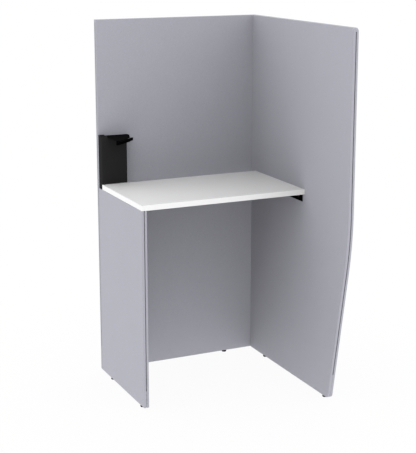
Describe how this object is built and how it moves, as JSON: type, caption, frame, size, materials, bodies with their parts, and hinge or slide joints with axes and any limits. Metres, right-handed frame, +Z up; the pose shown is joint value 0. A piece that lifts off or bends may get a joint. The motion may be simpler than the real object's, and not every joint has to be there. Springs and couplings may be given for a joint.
{
  "type": "booth desk",
  "caption": "Standing-height booth desk: tall back and side screens, a low leg screen under a white desktop, and a black cable riser with a corner shelf and headset rail",
  "frame": {"origin": "middle of the footprint box, on the floor", "axes": "+X to the right as seen from the open front, +Y to the back, +Z up"},
  "size_m": [0.927, 1.057, 1.9],
  "materials": {
    "screen_cloth": "light bluish-grey cloth, drawn tight over the shells",
    "core_board": "particle board, hidden inside",
    "white_laminate": "satin white high-pressure laminate",
    "white_edge": "white plastic edge band with small arrises",
    "black_steel": "black powder coat on folded sheet",
    "black_plastic": "black moulded plastic",
    "black_screw": "blackened steel",
    "zinc_steel": "zinc-plated steel"
  },
  "bodies": {
    "root": {"back_core": "core_board", "back_front_shell": "screen_cloth", "back_rear_shell": "screen_cloth", "right_core": "core_board", "right_inner_shell": "screen_cloth", "right_outer_shell": "screen_cloth", "left_core": "core_board", "left_inner_shell": "screen_cloth", "left_outer_shell": "screen_cloth", "desktop_board": "core_board", "desktop_top_laminate": "white_laminate", "desktop_under_laminate": "white_laminate", "front_edge_band": "white_edge", "back_edge_band": "white_edge", "left_edge_band": "white_edge", "right_edge_band": "white_edge", "right_support_angle": "black_steel", "left_support_angle": "black_steel", "angle_screen_screws": "black_screw", "angle_desktop_screws": "black_screw", "corner_riser": "black_steel", "riser_shelf": "black_steel", "headset_rail": "black_plastic", "riser_screws": "black_screw", "shelf_screws": "black_screw", "rail_screws": "black_screw", "connector_bolts": "black_screw", "connector_nuts": "zinc_steel", "foot_sleeves": "black_plastic"},
    "foot_back_left": {"pad_back_left": "black_plastic", "stud_back_left": "black_screw"},
    "foot_back_right": {"pad_back_right": "black_plastic", "stud_back_right": "black_screw"},
    "foot_left_rear": {"pad_left_rear": "black_plastic", "stud_left_rear": "black_screw"},
    "foot_left_front": {"pad_left_front": "black_plastic", "stud_left_front": "black_screw"},
    "foot_right_rear": {"pad_right_rear": "black_plastic", "stud_right_rear": "black_screw"},
    "foot_right_front": {"pad_right_front": "black_plastic", "stud_right_front": "black_screw"}
  },
  "joints": [
    {"name": "lower_back_left", "type": "slide", "parent": "root", "child": "foot_back_left", "axis": [0, 0, -1], "range_m": [0, 0.012]},
    {"name": "lower_back_right", "type": "slide", "parent": "root", "child": "foot_back_right", "axis": [0, 0, -1], "range_m": [0, 0.012]},
    {"name": "lower_left_rear", "type": "slide", "parent": "root", "child": "foot_left_rear", "axis": [0, 0, -1], "range_m": [0, 0.012]},
    {"name": "lower_left_front", "type": "slide", "parent": "root", "child": "foot_left_front", "axis": [0, 0, -1], "range_m": [0, 0.012]},
    {"name": "lower_right_rear", "type": "slide", "parent": "root", "child": "foot_right_rear", "axis": [0, 0, -1], "range_m": [0, 0.012]},
    {"name": "lower_right_front", "type": "slide", "parent": "root", "child": "foot_right_front", "axis": [0, 0, -1], "range_m": [0, 0.012]}
  ]
}
